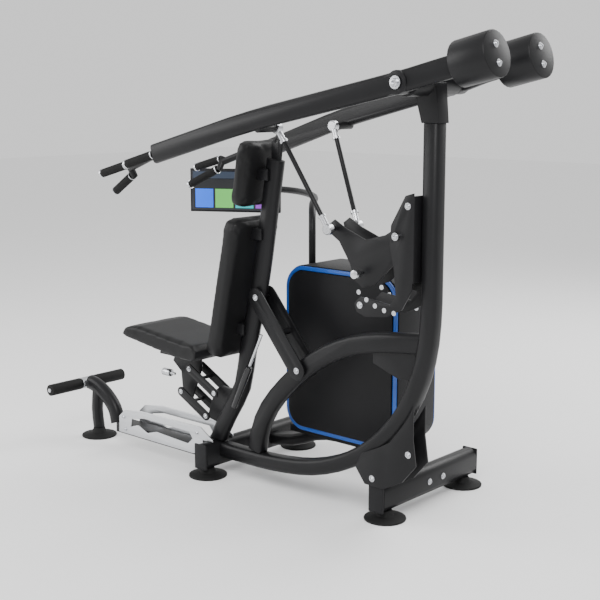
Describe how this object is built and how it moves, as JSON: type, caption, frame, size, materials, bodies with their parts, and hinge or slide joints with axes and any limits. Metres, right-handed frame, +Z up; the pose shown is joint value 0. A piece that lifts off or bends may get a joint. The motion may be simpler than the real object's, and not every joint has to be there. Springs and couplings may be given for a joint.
{
  "type": "lat pulldown machine",
  "caption": "Seated pulldown machine with two pivoting counterweighted arms, a linked rocker, padded seat and back, foot rollers, screen and side motor unit.",
  "frame": {"origin": "centre of the near middle foot's sole, on the floor", "axes": "+Z up; +X towards the counterweights, away from the user's feet; +Y towards the motor unit"},
  "size_m": [2.3071, 1.0209, 1.766],
  "materials": {
    "frame_coat": "satin powder coat",
    "upholstery": "soft black vinyl",
    "rubber": "matte",
    "zinc": "zinc plated",
    "gas_cylinder": "gloss",
    "side_plate": "brushed",
    "housing": "fine moulded texture",
    "blue_trim": "satin",
    "screen": "glossy"
  },
  "bodies": {
    "frame": {"mid_cross_beam": "frame_coat", "rear_cross_beam": "frame_coat", "mid_foot_near": "rubber", "mid_foot_far": "rubber", "rear_foot_near": "rubber", "rear_foot_far": "rubber", "main_tube_and_mast": "frame_coat", "arch_tube": "frame_coat", "rear_gusset_near": "frame_coat", "rear_gusset_far": "frame_coat", "seat_post": "frame_coat", "back_pad": "upholstery", "head_pad": "upholstery", "pad_bracket_lower": "frame_coat", "pad_bracket_upper": "frame_coat", "pad_bracket_head": "frame_coat", "post_strut": "frame_coat", "gas_spring_cylinder": "gas_cylinder", "gas_spring_rod": "zinc", "side_plate_near": "side_plate", "side_plate_far": "side_plate", "base_tube": "frame_coat", "front_stand": "frame_coat", "front_foot": "rubber", "roller_axle": "zinc", "mast_head": "frame_coat", "pivot_shaft": "zinc", "rocker_shaft": "zinc", "rocker_bracket": "frame_coat", "rocker_stop": "rubber", "motor_housing": "housing", "housing_cover_near": "housing", "housing_trim_near": "blue_trim", "housing_trim_far": "blue_trim", "housing_stand": "frame_coat", "screen_arm": "frame_coat"},
    "seat_upper_link": {"seat_link_upper": "frame_coat"},
    "seat_lower_link": {"seat_link_lower": "frame_coat"},
    "seat": {"seat_pad": "upholstery", "seat_bracket": "frame_coat"},
    "seat_pin": {"seat_pull_pin": "zinc"},
    "roller_near": {"foot_roller_near": "rubber"},
    "roller_far": {"foot_roller_far": "rubber"},
    "arm_near": {"arm_near": "frame_coat", "counterweight_near": "frame_coat", "grip_outer_near": "rubber", "grip_inner_near": "rubber", "grip_angled_near": "rubber"},
    "arm_far": {"arm_far": "frame_coat", "counterweight_far": "frame_coat", "grip_outer_far": "rubber", "grip_inner_far": "rubber", "grip_angled_far": "rubber"},
    "rod_near": {"push_rod_near": "frame_coat"},
    "rod_far": {"push_rod_far": "frame_coat"},
    "rocker": {"rocker": "frame_coat"},
    "rocker_pin": {"rocker_pull_pin": "zinc"},
    "screen": {"screen_case": "housing", "screen_glass": "screen"}
  },
  "joints": [
    {"name": "arm_near_lift", "type": "hinge", "parent": "frame", "child": "arm_near", "pos_m": [1.045, -0.108, 1.605], "axis": [0, 1, 0], "range_deg": [-15, 8]},
    {"name": "arm_far_lift", "type": "hinge", "parent": "frame", "child": "arm_far", "pos_m": [1.045, 0.228, 1.605], "axis": [0, 1, 0], "range_deg": [-15.05, 8.05]},
    {"name": "push_rod_near_swing", "type": "hinge", "parent": "arm_near", "child": "rod_near", "pos_m": [0.49, -0.098, 1.446], "axis": [0, 1, 0], "range_deg": [-10.66, 19.94]},
    {"name": "push_rod_far_swing", "type": "hinge", "parent": "arm_far", "child": "rod_far", "pos_m": [0.49, 0.218, 1.446], "axis": [0, 1, 0], "range_deg": [-10.66, 19.94]},
    {"name": "rocker_turn", "type": "hinge", "parent": "frame", "child": "rocker", "pos_m": [0.968, 0.06, 1.083], "axis": [0, 1, 0], "range_deg": [-31.09, 16.6]},
    {"name": "rocker_pin_pull", "type": "slide", "parent": "rocker", "child": "rocker_pin", "axis": [0, -1, 0], "range_m": [0, 0.01], "stiffness_N_per_m": 900, "springref_m": -0.002},
    {"name": "seat_lower_link_turn", "type": "hinge", "parent": "frame", "child": "seat_lower_link", "pos_m": [-0.031, 0.06, 0.245], "axis": [0, 1, 0], "range_deg": [-18, 8]},
    {"name": "seat_upper_link_turn", "type": "hinge", "parent": "frame", "child": "seat_upper_link", "pos_m": [0.02, 0.06, 0.351], "axis": [0, 1, 0], "range_deg": [-18.05, 8.05]},
    {"name": "seat_level", "type": "hinge", "parent": "seat_lower_link", "child": "seat", "pos_m": [-0.18, 0.06, 0.324], "axis": [0, 1, 0], "range_deg": [-8.05, 18.05]},
    {"name": "seat_pin_pull", "type": "slide", "parent": "seat", "child": "seat_pin", "axis": [-1, 0, 0], "range_m": [0, 0.01], "stiffness_N_per_m": 900, "springref_m": -0.002},
    {"name": "roller_near_spin", "type": "hinge", "parent": "frame", "child": "roller_near", "pos_m": [-0.872, -0.06, 0.24], "axis": [0, 1, 0], "continuous": true},
    {"name": "roller_far_spin", "type": "hinge", "parent": "frame", "child": "roller_far", "pos_m": [-0.872, 0.18, 0.24], "axis": [0, 1, 0], "continuous": true},
    {"name": "screen_turn", "type": "hinge", "parent": "frame", "child": "screen", "pos_m": [-0.38265, 0.57695, 1.131], "axis": [-0.4891, 0.8722, 0], "range_deg": [-90, 90]}
  ],
  "couplings": [
    {"joint": "arm_far_lift", "follows": "arm_near_lift", "ratio": 1},
    {"joint": "push_rod_near_swing", "follows": "arm_near_lift", "ratio": -1.326},
    {"joint": "push_rod_far_swing", "follows": "arm_near_lift", "ratio": -1.326},
    {"joint": "rocker_turn", "follows": "arm_near_lift", "ratio": 2.069},
    {"joint": "seat_upper_link_turn", "follows": "seat_lower_link_turn", "ratio": 1},
    {"joint": "seat_level", "follows": "seat_lower_link_turn", "ratio": -1}
  ]
}
